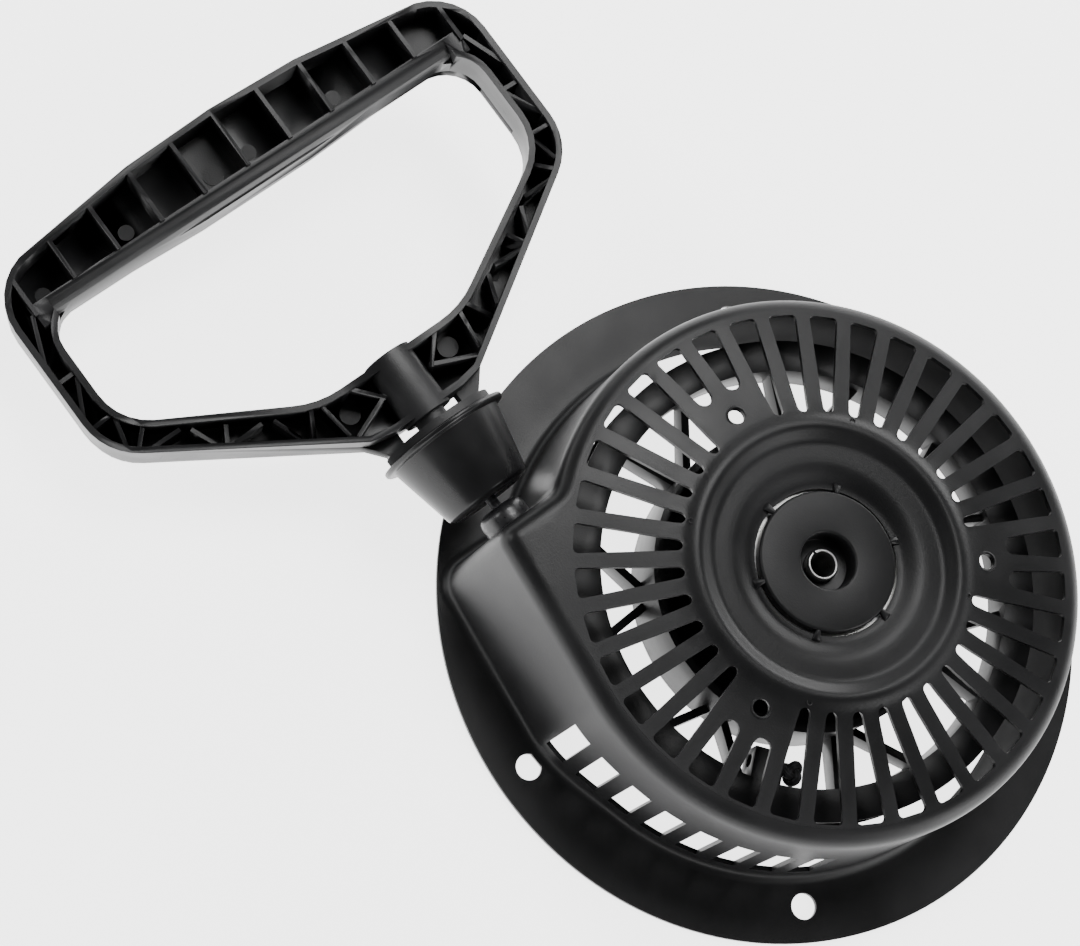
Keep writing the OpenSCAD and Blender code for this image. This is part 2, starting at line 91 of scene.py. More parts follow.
# Any node: settings first, then values or links for its inputs
def addNode(tree, kind, settings=None, inputs=None):
    node = tree.nodes.new(kind)
    for key, value in (settings or {}).items():
        setattr(node, key, value)
    for key, value in (inputs or {}).items():
        source = value.socket if isinstance(value, Wire) else value
        if isinstance(source, bpy.types.NodeSocket):
            tree.links.new(source, node.inputs[key])
        elif source is not None:
            node.inputs[key].default_value = source
    return node


def wireFrom(tree, kind, settings=None, inputs=None, output=0):
    return Wire(tree, addNode(tree, kind, settings, inputs).outputs[output])


def mixColours(tree, factor, dark, light):
    return wireFrom(tree, "ShaderNodeMix", {"data_type": "RGBA"},
                    {0: factor, 6: dark, 7: light}, 2)


def noise(tree, point, perMetre, detail=3.0, roughness=0.5):
    return wireFrom(tree, "ShaderNodeTexNoise", None,
                    {"Vector": point, "Scale": perMetre, "Detail": detail, "Roughness": roughness})


# Object coordinates about a centre given in millimetres, stretched by scale
def shiftedPoint(tree, centre=(0, 0, 0), scale=(1, 1, 1)):
    coords = wireFrom(tree, "ShaderNodeTexCoord", None, None, "Object")
    moved = wireFrom(tree, "ShaderNodeVectorMath", {"operation": "SUBTRACT"},
                     {0: coords, 1: [c * mm for c in centre]})
    return wireFrom(tree, "ShaderNodeVectorMath", {"operation": "MULTIPLY"}, {0: moved, 1: scale})


def startMaterial(name, constants=None):
    material = bpy.data.materials.new(name)
    material.use_nodes = True
    tree = material.node_tree
    shader = next(n for n in tree.nodes if n.type == "BSDF_PRINCIPLED")
    for key, value in (constants or {}).items():
        shader.inputs[key].default_value = value
    return material, tree, shader


def feed(tree, shader, colour=None, roughness=None, metallic=None, height=None, depth=0.03, strength=0.6):
    if colour is not None:
        tree.links.new(colour.socket, shader.inputs["Base Color"])
    if roughness is not None:
        tree.links.new(roughness.socket, shader.inputs["Roughness"])
    if metallic is not None:
        tree.links.new(metallic.socket, shader.inputs["Metallic"])
    if height is not None:
        bump = addNode(tree, "ShaderNodeBump", None,
                       {"Strength": strength, "Distance": depth * mm, "Height": height})
        tree.links.new(bump.outputs["Normal"], shader.inputs["Normal"])


# Baked black paint with a fine orange peel, duller in places
def satinPaint():
    look = {"dark": (0.0065, 0.0066, 0.007, 1), "light": (0.013, 0.013, 0.0138, 1),
            "rough": 0.34, "spread": 0.14}
    material, tree, shader = startMaterial("satinPaint", {"Specular IOR Level": 0.24})
    point = shiftedPoint(tree)
    clouds = noise(tree, point, 22, 4)
    peel = noise(tree, point, 1500, 2)
    grit = noise(tree, point, 4200, 2)
    colour = mixColours(tree, clouds.over(0.35, 0.7), look["dark"], look["light"])
    rough = clouds.over(0.3, 0.7, look["rough"], look["rough"] + look["spread"]) + (grit - 0.5) * 0.12
    feed(tree, shader, colour, rough, None, peel + grit * 0.5, 0.06, 0.55)
    return material


# The same paint, darker and almost without gloss, for the inner surfaces: painted shade
def paintedShadeInside():
    material, tree, shader = startMaterial("paintedShadeInside", {"Specular IOR Level": 0.06})
    clouds = noise(tree, shiftedPoint(tree), 60, 4)
    grit = noise(tree, shiftedPoint(tree), 2600, 2)
    # colours darker than the outer paint: painted shade inside the housing
    colour = mixColours(tree, clouds.over(0.35, 0.7), (0.003, 0.003, 0.0032, 1), (0.006, 0.006, 0.0064, 1))
    feed(tree, shader, colour, clouds.over(0.3, 0.7, 0.75, 0.9), None, grit, 0.05, 0.5)
    return material


# Black plastics, told apart by their finish
def mouldedPlastic(name, dark, light, rough, grainDepth):
    material, tree, shader = startMaterial(name, {"Specular IOR Level": 0.28})
    point = shiftedPoint(tree)
    flow = noise(tree, shiftedPoint(tree, (0, 0, 0), (1, 1, 2.5)), 34, 3)
    grain = noise(tree, point, 2600, 2)
    scuffs = noise(tree, shiftedPoint(tree, (0, 0, 0), (1, 6, 1)), 160, 5, 0.65).over(0.6, 0.72)
    colour = mixColours(tree, flow.over(0.35, 0.7) * 0.8 + scuffs * 0.2, dark, light)
    roughness = flow.over(0.3, 0.75, rough - 0.05, rough + 0.07) + scuffs * 0.06
    feed(tree, shader, colour, roughness, None, grain, grainDepth, 0.6)
    return material


# Bright zinc with a brushed lie and dull patches
def zincPlate():
    material, tree, shader = startMaterial("zincPlate", {"Metallic": 1.0})
    brushed = noise(tree, shiftedPoint(tree, (0, 0, 0), (1, 1, 9)), 700, 3)
    patches = noise(tree, shiftedPoint(tree), 90, 5, 0.6)
    colour = mixColours(tree, patches.over(0.35, 0.7), (0.55, 0.55, 0.53, 1), (0.3, 0.3, 0.31, 1))
    rough = patches.over(0.3, 0.7, 0.24, 0.46) + (brushed - 0.5) * 0.16
    feed(tree, shader, colour, rough, None, brushed, 0.02, 0.4)
    return material


# Tempered strip and wire
def bluedSteel():
    material, tree, shader = startMaterial("bluedSteel", {"Metallic": 1.0})
    heat = noise(tree, shiftedPoint(tree), 120, 3)
    drawn = noise(tree, shiftedPoint(tree, (0, 0, 0), (1, 1, 14)), 500, 2)
    colour = mixColours(tree, heat.over(0.35, 0.65), (0.13, 0.14, 0.19, 1), (0.3, 0.27, 0.23, 1))
    feed(tree, shader, colour, heat.over(0.3, 0.7, 0.25, 0.42) + (drawn - 0.5) * 0.1, None, drawn, 0.01, 0.4)
    return material


def naturalNylon():
    material, tree, shader = startMaterial("naturalNylon", {"Subsurface Weight": 0.08})
    flow = noise(tree, shiftedPoint(tree), 130, 3)
    grain = noise(tree, shiftedPoint(tree), 2600, 2)
    colour = mixColours(tree, flow.over(0.3, 0.7), (0.62, 0.59, 0.5, 1), (0.76, 0.74, 0.67, 1))
    feed(tree, shader, colour, flow.over(0.3, 0.7, 0.38, 0.52), None, grain, 0.03, 0.5)
    return material


# Black enamel, rubbed bright round the mouth where the rope runs
def eyeletSteel():
    material, tree, shader = startMaterial("eyeletSteel")
    across = shiftedPoint(tree, (0, ropeLine["y"], ropeLine["z"]), (0, 1, 1))
    radius = wireFrom(tree, "ShaderNodeVectorMath", {"operation": "LENGTH"}, {0: across}, "Value")
    ragged = noise(tree, shiftedPoint(tree), 900, 3)
    bare = (radius + (ragged - 0.5) * 0.0012).over(0.0032, 0.0042, 1.0, 0.0)
    colour = mixColours(tree, bare, (0.012, 0.012, 0.013, 1), (0.42, 0.42, 0.41, 1))
    feed(tree, shader, colour, ragged.over(0.3, 0.7, 0.26, 0.42), bare, ragged, 0.02, 0.4)
    return material


# Braided cover: diagonal strands that cross, from the place along and around the rope
def braidedRope(along, around, tree, material, shader):
    strands = {"around": 4.0, "perDiameter": 1.15}
    up = (along * strands["perDiameter"] + around * strands["around"]) * math.tau
    down = (along * strands["perDiameter"] - around * strands["around"]) * math.tau
    weave = up.sine() * down.sine()
    fibres = noise(tree, shiftedPoint(tree), 5200, 2)
    height = weave * 0.5 + 0.5 + fibres * 0.25
    tone = (weave * 0.35 + fibres).over(0.2, 0.95)
    feed(tree, shader, mixColours(tree, tone, (0.008, 0.008, 0.009, 1), (0.055, 0.055, 0.06, 1)),
         fibres.over(0.2, 0.8, 0.62, 0.9), None, height, 0.28, 0.9)
    return material


# Follows the length and turn stored on the swept rope
def laidRope():
    material, tree, shader = startMaterial("laidRope", {"Sheen Weight": 0.1})
    lay = wireFrom(tree, "ShaderNodeAttribute", {"attribute_name": "lay"}, None, "Vector")
    parts = addNode(tree, "ShaderNodeSeparateXYZ", None, {0: lay})
    along = Wire(tree, parts.outputs[0])
    around = Wire(tree, parts.outputs[1])
    return braidedRope(along, around, tree, material, shader)


# Follows the rope's straight line, so that the braid keeps its size as more of it is drawn out
def straightRope():
    material, tree, shader = startMaterial("straightRope", {"Sheen Weight": 0.1})
    onRope = shiftedPoint(tree, (0, ropeLine["y"], ropeLine["z"]))
    parts = addNode(tree, "ShaderNodeSeparateXYZ", None, {0: onRope})
    along = Wire(tree, parts.outputs[0]) / (2 * ropeLine["radius"] * mm)
    around = along.calc("ARCTAN2", Wire(tree, parts.outputs[2]), Wire(tree, parts.outputs[1])) / math.tau
    return braidedRope(along, around, tree, material, shader)


paint = satinPaint()
innerShadePaint = paintedShadeInside()
sheavePlastic = mouldedPlastic("sheavePlastic", (0.008, 0.008, 0.0085, 1), (0.016, 0.016, 0.017, 1),
                               0.42, 0.04)
cupPlastic = mouldedPlastic("cupPlastic", (0.007, 0.007, 0.0074, 1), (0.012, 0.012, 0.0126, 1), 0.3, 0.02)
gripPlastic = mouldedPlastic("gripPlastic", (0.009, 0.009, 0.0095, 1), (0.017, 0.017, 0.018, 1), 0.36, 0.04)
zinc = zincPlate()
blued = bluedSteel()
nylon = naturalNylon()
eyeletMetal = eyeletSteel()
ropeCover = laidRope()
ropeTaut = straightRope()
print("materials ready")


def newObject(name, mesh):
    obj = bpy.data.objects.new(name, mesh)
    bpy.context.scene.collection.objects.link(obj)
    return obj


# Points are in millimetres
def meshPiece(name, points, faces, material):
    mesh = bpy.data.meshes.new(name)
    mesh.from_pydata([tuple(c * mm for c in p) for p in points], [], faces)
    mesh.materials.append(material)
    return newObject(name, mesh)


def tidyMesh(mesh, merge=1e-6):
    work = bmesh.new()
    work.from_mesh(mesh)
    bmesh.ops.remove_doubles(work, verts=work.verts, dist=merge)
    bmesh.ops.recalc_face_normals(work, faces=work.faces)
    work.to_mesh(mesh)
    work.free()


# Turns an object with modifiers into a plain mesh
def frozen(obj):
    graph = bpy.context.evaluated_depsgraph_get()
    mesh = bpy.data.meshes.new_from_object(obj.evaluated_get(graph), preserve_all_data_layers=True,
                                           depsgraph=graph)
    obj.modifiers.clear()
    obj.data = mesh
    return obj


# Small rounded edges, then smooth shading between them
def softEdges(obj, width, angle=40, segments=2, smooth=35):
    bevel = obj.modifiers.new("edges", "BEVEL")
    bevel.width = width * mm
    bevel.segments = segments
    bevel.limit_method = "ANGLE"
    bevel.angle_limit = math.radians(angle)
    bevel.miter_outer = "MITER_ARC"
    frozen(obj)
    smoothUp(obj, smooth)
    return obj


def smoothUp(obj, angle=35):
    obj.data.shade_smooth()
    obj.data.set_sharp_from_angle(angle=math.radians(angle))


def place(obj, body, slotName, *nodes):
    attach(obj, body)
    if nodes:
        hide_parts(*nodes)
    return obj


# The CAD shape with its sharp edges eased
def roundedCopy(node, name, material, width):
    obj = newObject(name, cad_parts[node].data.copy())
    obj.data.materials.clear()
    obj.data.materials.append(material)
    work = bmesh.new()
    work.from_mesh(obj.data)
    bmesh.ops.remove_doubles(work, verts=work.verts, dist=2e-6)
    bmesh.ops.dissolve_limit(work, angle_limit=math.radians(2), verts=work.verts, edges=work.edges)
    for face in work.faces:
        face.material_index = 0
    work.to_mesh(obj.data)
    work.free()
    return softEdges(obj, width)


# A closed (radius, place) outline turned about the pulley's axis, or about the rope
def turned(name, profile, material, edge=0.25, steps=96, alongRope=False, arc=360.0, start=0.0):
    full = arc >= 360
    rings = steps if full else steps + 1
    points = []
    for i in range(rings):
        a = math.radians(start + arc * i / steps)
        for r, t in profile:
            if alongRope:
                points.append((t, ropeLine["y"] + r * math.cos(a), ropeLine["z"] + r * math.sin(a)))
            else:
                points.append((r * math.cos(a), r * math.sin(a), t))
    n = len(profile)
    faces = []
    for i in range(steps):
        j = (i + 1) % rings
        for k in range(n):
            m = (k + 1) % n
            faces.append((i * n + k, j * n + k, j * n + m, i * n + m))
    if not full:
        faces.append(tuple(range(n)))
        faces.append(tuple(range((rings - 1) * n + n - 1, (rings - 1) * n - 1, -1)))
    obj = meshPiece(name, points, faces, material)
    tidyMesh(obj.data)
    return softEdges(obj, edge, 30, 3, 32)


def setCamera():
    view = {"target": (75.7, 35.4, 0), "azimuth": 191.06, "elevation": 67.46, "roll": 43.22,
            "distance": 766.2, "lens": 80.3}
    a = math.radians(view["azimuth"])
    e = math.radians(view["elevation"])
    back = Vector((math.sin(a) * math.cos(e), -math.cos(a) * math.cos(e), math.sin(e)))
    right = Vector((math.cos(a), math.sin(a), 0))
    up = back.cross(right)
    roll = math.radians(view["roll"])
    turnedRight = right * math.cos(roll) + up * math.sin(roll)
    turnedUp = up * math.cos(roll) - right * math.sin(roll)
    data = bpy.data.cameras.new("camera")
    data.lens = view["lens"]
    data.sensor_width = 36
    data.clip_start = 0.02
    data.clip_end = 60
    camera = bpy.data.objects.new("camera", data)
    bpy.context.scene.collection.objects.link(camera)
    pose = Matrix((turnedRight, turnedUp, back)).transposed().to_4x4()
    pose.translation = Vector(view["target"]) * mm + back * view["distance"] * mm
    camera.matrix_world = pose
    bpy.context.scene.camera = camera


# A pale floor that curves up into walls, and four soft boxes; lengths in metres
def lightStage():
    stage = {"flat": 6.0, "rise": 2.0, "reach": 9.0, "glow": 3.2, "world": 0.07}
    floorZ = -0.6
    rings = [(stage["flat"] / 2, 0.0), (stage["flat"], 0.0)]
    for i in range(1, 9):
        t = i / 8
        rings.append((stage["flat"] + (stage["reach"] - stage["flat"]) * t, stage["rise"] * t * t))
    steps = 64
    points = [(0, 0, floorZ)]
    for r, z in rings:
        for i in range(steps):
            a = math.tau * i / steps
            points.append((r / mm * math.cos(a), r / mm * math.sin(a), z / mm + floorZ))
    faces = [(0, 1 + i, 1 + (i + 1) % steps) for i in range(steps)]
    for k in range(len(rings) - 1):
        near = 1 + k * steps
        far = near + steps
        for i in range(steps):
            j = (i + 1) % steps
            faces.append((near + i, far + i, far + j, near + j))
    material, _, _ = startMaterial("palePaper", {
        "Base Color": (0.82, 0.82, 0.82, 1), "Roughness": 0.9,
        "Emission Color": (1, 1, 1, 1), "Emission Strength": stage["glow"]})
    floor = meshPiece("floor", points, faces, material)
    smoothUp(floor, 60)
    world = bpy.data.worlds.new("world")
    world.use_nodes = True
    world.node_tree.nodes["Background"].inputs[0].default_value = (1, 1, 1, 1)
    world.node_tree.nodes["Background"].inputs[1].default_value = stage["world"]
    bpy.context.scene.world = world
    aim = Vector((0.05, 0.03, 0.03))
    boxes = [  # name, place, size across and along, power
        ("topBox", (0.42, -0.45, 1.25), (0.6, 0.6), 14),
        ("rimBox", (-1.05, -0.3, 0.55), (0.35, 0.9), 8),
        ("edgeBox", (0.25, -1.15, 0.45), (0.9, 0.3), 8),
        ("keyBox", (0.95, 0.75, 0.75), (0.5, 0.5), 5),
    ]
    for name, spot, size, power in boxes:
        data = bpy.data.lights.new(name, "AREA")
        data.shape = "RECTANGLE"
        data.size = size[0]
        data.size_y = size[1]
        data.energy = power
        lamp = bpy.data.objects.new(name, data)
        bpy.context.scene.collection.objects.link(lamp)
        lamp.location = spot
        lamp.rotation_mode = "QUATERNION"
        lamp.rotation_quaternion = (aim - Vector(spot)).to_track_quat("-Z", "Y")


setCamera()
lightStage()
print("camera, floor and light ready")


housing = {
    "flangeR": 108.0, "wallR": 85.5, "sheet": 1.5, "faceZ": 53.4,
    "edgeR": 5.5, "footR": 3.5, "collarR": 22.9,
    "slots": 36, "firstSlot": 0.5, "slotOut": 79.0, "slotIn": 46.5, "slotShort": 59.0, "bar": 4.7,
    "lockAngle": -4.5, "lockR": 51.5, "lockHole": 2.5,
    "boltR": 96.8, "boltHole": 4.1, "firstBolt": 27.9, "bolts": 6,
    "spoutX": 65.0, "spoutTurn": -6.6, "spoutCorner": 6.0, "spoutNotch": 8.0,
    "draft": 1.3, "spoutDraft": 5.0,
    "ventW": 7.3, "ventH": 24.0, "ventZ": 7.75, "firstVent": 88.5, "ventPitch": 8.2, "vents": 8,
    "edge": 0.38,
}


def polar(r, degrees):
    a = math.radians(degrees)
    return np.array((r * math.cos(a), r * math.sin(a)))


# Height of the face against radius, smoothed as a press leaves it
def faceHeights():
    radii = np.arange(0.0, 130.0, 0.1)
    knots = [(0, 54.1), (24.3, 54.1), (28.6, 55.9), (30.6, 56.4), (37.2, 56.4), (41.2, 58.9), (43.2, 58.95),
             (46.2, 57.5), (51.5, 56.5), (66, 55.0), (79.5, 53.5), (84, 53.4), (130, 53.4)]
    drawn = np.interp(radii, [k[0] for k in knots], [k[1] for k in knots])
    kernel = np.hanning(23)
    padded = np.concatenate([np.full(11, drawn[0]), drawn, np.full(11, drawn[-1])])
    return radii, np.convolve(padded, kernel / kernel.sum(), "valid")


# Plan of the wall as (point, outward normal, share of the spout's draft, vent number)
def housingOutline():
    h = housing
    rows = []
    tangent = 90 + h["spoutTurn"]
    notchY = math.sqrt((h["wallR"] + h["spoutNotch"]) ** 2 - (h["spoutX"] + h["spoutNotch"]) ** 2)
    notch = np.array((h["spoutX"] + h["spoutNotch"], notchY))
    notchAngle = math.degrees(math.atan2(notch[1], notch[0]))
    ventHalf = math.degrees(math.asin(h["ventW"] / 2 / h["wallR"]))
    angles = []
    for k in range(h["vents"]):
        c = h["firstVent"] + k * h["ventPitch"]
        angles += [(c - ventHalf, k), (c - ventHalf / 3, k), (c + ventHalf / 3, k), (c + ventHalf, -1),
                   (c + h["ventPitch"] / 2, -1)]
    last = angles[-1][0]
    count = 100
    angles += [(last + (360 + notchAngle - last) * i / count, -1) for i in range(1, count + 1)]
    angles = [(tangent, -1)] + angles
    for a, vent in angles:
        n = polar(1, a)
        away = (a - tangent) / 22
        share = max(0.0, 1 - away) ** 2 * (1 + 2 * min(1.0, away)) if away < 1 else 0.0
        rows.append((n * h["wallR"], n, share, vent))
    for i in range(1, 9):  # hollow corner where the round wall meets the end wall
        a = notchAngle + 180 - notchAngle * i / 8
        rows.append((notch + polar(h["spoutNotch"], a), -polar(1, a), 0.0, -1))
    top = tangentY(h["spoutX"])
    reach = h["spoutCorner"] * math.tan(math.radians((90 + h["spoutTurn"]) / 2))
    for i in range(1, 6):
        y = notch[1] + (top - reach - notch[1]) * i / 6
        rows.append((np.array((h["spoutX"], y)), np.array((1.0, 0.0)), 0.0, -1))
    corner = np.array((h["spoutX"] - h["spoutCorner"], top - reach))
    for i in range(7):
        t = i / 6
        n = polar(1, (90 + h["spoutTurn"]) * t)
        rows.append((corner + n * h["spoutCorner"], n, t * t * (3 - 2 * t), -1))
    foot = polar(h["wallR"], tangent)
    side = polar(1, tangent)
    start = corner + side * h["spoutCorner"]
    for i in range(1, 14):
        rows.append((start + (foot - start) * i / 14, side, 1.0, -1))
    return rows


def tangentY(x):
    foot = polar(housing["wallR"], 90 + housing["spoutTurn"])
    return foot[1] + (x - foot[0]) * math.tan(math.radians(housing["spoutTurn"]))


def slotOutline(short):
    h = housing
    half = math.tan(math.pi / h["slots"])
    r0 = h["slotShort"] if short else h["slotIn"]
    inner = r0 * half - h["bar"] / 2
    outer = h["slotOut"] * half - h["bar"] / 2
    x0 = r0 + inner
    x1 = h["slotOut"]
    tip = 1.5
    count = 8 if short else 14

    def sidePoint(i, side):  # i of count steps out along one side
        return np.array((x0 + (x1 - tip - x0) * i / count, side * (inner + (outer - inner) * i / count)))

    loop = [np.array((x0, 0.0)) + polar(inner, 90 + 180 * i / 8) for i in range(9)]
    loop += [sidePoint(i, -1) for i in range(1, count)]
    loop += [np.array((x1 - tip, tip - outer)) + polar(tip, -90 + 90 * i / 4) for i in range(5)]
    loop += [np.array((x1, 0.0))]
    loop += [np.array((x1 - tip, outer - tip)) + polar(tip, 90 * i / 4) for i in range(5)]
    loop += [sidePoint(i, 1) for i in range(count - 1, 0, -1)]
    return loop


def turnLoop(loop, degrees):
    a = math.radians(degrees)
    spin = np.array(((math.cos(a), math.sin(a)), (-math.sin(a), math.cos(a))))
    return [p @ spin for p in loop]


def roundHole(centre, radius, count=28):
    return [centre + polar(radius, 360 * i / count) for i in range(count)]


# Flat sheet between loops, with the fill points kept clear of them
def sheetWithHoles(outer, holes, fill):
    clear = 0.9
    loops = [outer] + holes
    edgeA = np.array([p for loop in loops for p in loop])
    edgeB = np.array([p for loop in loops for p in loop[1:] + loop[:1]])
    fill = np.array(fill)
    along = edgeB - edgeA
    t = np.clip(((fill[:, None, :] - edgeA) * along).sum(2) / (along ** 2).sum(1), 0, 1)
    away = np.linalg.norm(edgeA + t[..., None] * along - fill[:, None, :], axis=2).min(1)
    fill = fill[(away > clear) & insideLoops(fill, edgeA, edgeB)]
    coords = [Vector(p) for p in edgeA] + [Vector(p) for p in fill]
    edges = []
    first = 0
    for loop in loops:
        edges += [(first + i, first + (i + 1) % len(loop)) for i in range(len(loop))]
        first += len(loop)
    verts, _, faces, _, _, _ = delaunay_2d_cdt(coords, edges, [], 0, 1e-6)
    flat = np.array([tuple(v) for v in verts])
    centres = np.array([flat[list(f)].mean(0) for f in faces])
    keep = insideLoops(centres, edgeA, edgeB)
    return flat, [tuple(f) for f, k in zip(faces, keep) if k]


# Even-odd test against every loop at once
def insideLoops(points, edgeA, edgeB):
    y = points[:, 1][:, None]
    crosses = (edgeA[:, 1] > y) != (edgeB[:, 1] > y)
    rise = np.where(edgeB[:, 1] == edgeA[:, 1], 1e-12, edgeB[:, 1] - edgeA[:, 1])
    at = edgeA[:, 0] + (y - edgeA[:, 1]) / rise * (edgeB[:, 0] - edgeA[:, 0])
    return ((crosses & (points[:, 0][:, None] < at)).sum(1) % 2) == 1


def buildHousing():
    h = housing
    rows = housingOutline()
    n = len(rows)
    points, faces = [], []

    def addLoop(offset, z):  # the outline, moved outwards by offset(share)
        base = len(points)
        for p, normal, share, _ in rows:
            q = p + normal * offset(share)
            points.append((q[0], q[1], z))
        return base

    def stitch(upper, lower, skip=None):
        for i in range(n):
            j = (i + 1) % n
            if skip and skip(rows[i][3]):
                continue
            faces.append((upper + i, lower + i, lower + j, upper + j))

    radii, heights = faceHeights()
    outer = [p - normal * h["edgeR"] for p, normal, _, _ in rows]
    holes = []
    for i in range(h["slots"]):
        a = h["firstSlot"] + i * 360 / h["slots"]
        off = (a - h["lockAngle"] + 60) % 120 - 60
        holes.append(turnLoop(slotOutline(abs(off) < 360 / h["slots"]), a))
    for i in range(3):
        holes.append(roundHole(polar(h["lockR"], h["lockAngle"] + 120 * i), h["lockHole"], 24))
    holes.append(roundHole(np.zeros(2), h["collarR"], 96))
    fill = []
    for r in np.concatenate([np.arange(24.1, 32, 1.0), np.arange(33, 48, 0.9), np.arange(49, 99, 2.2)]):
        count = 144 if r < 60 else 180
        fill += [polar(r, 360 * (i + 0.5 * (int(r) % 2)) / count) for i in range(count)]
    flat, sheetFaces = sheetWithHoles(outer, holes, fill)
    base = len(points)
    z = np.interp(np.linalg.norm(flat, axis=1), radii, heights)
    points += [(p[0], p[1], zz) for p, zz in zip(flat, z)]
    faces += [tuple(base + v for v in f) for f in sheetFaces]

    wallTop = h["faceZ"] - h["edgeR"]
    footTop = h["sheet"] + h["footR"]

    def draftAt(z):
        down = (wallTop - z) / (wallTop - footTop)
        return lambda share: (h["draft"] + (h["spoutDraft"] - h["draft"]) * share) * down

    steps = 6
    previous = None
    for i in range(steps + 1):  # rounded edge, from the face down to the wall
        t = math.radians(90 * (1 - i / steps))
        inset = h["edgeR"] * (1 - math.cos(t))
        loop = addLoop(lambda share, d=inset: -d, wallTop + h["edgeR"] * math.sin(t))
        if previous is not None:
            stitch(previous, loop)
        previous = loop
    ventTop = h["ventZ"] + h["ventH"]
    for z1 in (42, ventTop, 24, 16, h["ventZ"], footTop):
        loop = addLoop(draftAt(z1), z1)
        stitch(previous, loop, (lambda vent: vent >= 0) if h["ventZ"] <= z1 < ventTop else None)
        previous = loop
    footOut = draftAt(footTop)
    for i in range(1, 6):  # foot radius, out on to the flange
        t = math.radians(90 * i / 5)
        reach = h["footR"] * (1 - math.cos(t))
        loop = addLoop(lambda share, d=reach: footOut(share) + d, footTop - h["footR"] * math.sin(t))
        stitch(previous, loop)
        previous = loop
    footLoop = [np.array(points[previous + i][:2]) for i in range(n)]
    rim = roundHole(np.zeros(2), h["flangeR"], 180)
    bolts = [roundHole(polar(h["boltR"], h["firstBolt"] + 360 * i / h["bolts"]), h["boltHole"], 32)
             for i in range(h["bolts"])]
    fill = []
    for r in (94, 98, 102, 105.5):
        fill += [polar(r, 360 * i / 150) for i in range(150)]
    flat, sheetFaces = sheetWithHoles(rim, [footLoop] + bolts, fill)
    base = len(points)
    points += [(p[0], p[1], h["sheet"]) for p in flat]
    faces += [tuple(base + v for v in f) for f in sheetFaces]

    obj = meshPiece("pressedHousing", points, faces, paint)
    tidyMesh(obj.data, 2e-5)
    work = bmesh.new()
    work.from_mesh(obj.data)
    work.faces.ensure_lookup_table()
    topFace = max(work.faces, key=lambda f: f.calc_center_median().z)
    if topFace.normal.z < 0:
        bmesh.ops.reverse_faces(work, faces=work.faces)
    work.to_mesh(obj.data)
    work.free()
    sheet = obj.modifiers.new("sheet", "SOLIDIFY")
    sheet.thickness = h["sheet"] * mm
    sheet.offset = -1
    sheet.use_even_offset = True
    # the inner side of the sheet takes the darker copy of the paint: painted shade inside the housing
    obj.data.materials.append(innerShadePaint)
    sheet.material_offset = 1
    near = h["spoutX"] - 8
    far = h["spoutX"] + 8
    cutter = turned("eyeletCutter", [(0.01, near), (6.0, near), (6.0, far), (0.01, far)], paint, 0.01, 48,
                    alongRope=True)
    hole = obj.modifiers.new("eyelet", "BOOLEAN")
    hole.object = cutter
    hole.operation = "DIFFERENCE"
    hole.solver = "EXACT"
    frozen(obj)
    bpy.data.objects.remove(cutter)
    softEdges(obj, h["edge"], 50, 2, 38)
    return place(obj, "root", "painted_steel", "housing")


buildHousing()
print("housing pressed")


# Turned parts are given as (radius, height) outlines
def buildPost():
    profile = [(5.0, 12), (9, 12), (9, 50.6), (21.9, 50.6), (21.9, 55.3), (21.5, 55.9), (20.9, 56.0),
               (9.3, 56.0), (8.8, 55.6), (8.7, 48.6), (5.0, 48.6)]
    place(turned("centrePost", profile, paint, 0.35), "root", "painted_steel", "centre_post")


# Rolled spring pin: a slotted tube with a chamfered mouth and a closed head below
def buildPin():
    gap = 8
    profile = [(3.9, 1.8), (5.0, 1.8), (5.0, 51.0), (4.6, 51.6), (4.1, 51.6), (3.9, 51.3)]
    pin = turned("springPin", profile, zinc, 0.12, 72, arc=360 - gap, start=gap / 2)
    place(pin, "root", "zinc_steel", "centre_pin")
    head = [(0.01, 0.4), (8, 0.4), (8, 1.7), (4.9, 1.7), (4.9, 1.2), (0.01, 1.2)]
    place(turned("pinHead", head, zinc, 0.2), "root", "zinc_steel")


def buildEyelet():
    x = housing["spoutX"]
    profile = [(2.8, x - 3.4), (7.6, x - 3.4), (7.6, x - 1.5), (5.95, x - 1.5), (5.95, x), (7.7, x),
               (7.7, x + 4), (7.2, x + 5.6), (6.2, x + 6.6), (5.0, x + 7.0), (4.0, x + 6.7), (3.2, x + 6.0),
               (2.8, x + 5.0)]
    eyelet = turned("ropeEyelet", profile, eyeletMetal, 0.2, alongRope=True)
    place(eyelet, "root", "dark_metal", "rope_eyelet")


def buildCup():
    start, end = 75.5, 100.0
    small, rim = 14.5, 21.5
    bore, wall = 2.3, 1.6
    profile = [(bore, start), (small - 2.4, start), (small - 1.2, start + 0.35), (small - 0.35, start + 1.0),
               (small, start + 2.2), (rim - 2.6, end - 2.0), (rim - 0.6, end - 1.8), (rim, end - 1.2),
               (rim, end - 0.1), (rim - 2.4 - wall, end), (small - wall, start + 2.2 + wall),
               (bore, start + wall)]
    cup = turned("starterCup", profile, cupPlastic, 0.3, alongRope=True)
    place(cup, "rope_end", "cup_plastic", "handle_cup")


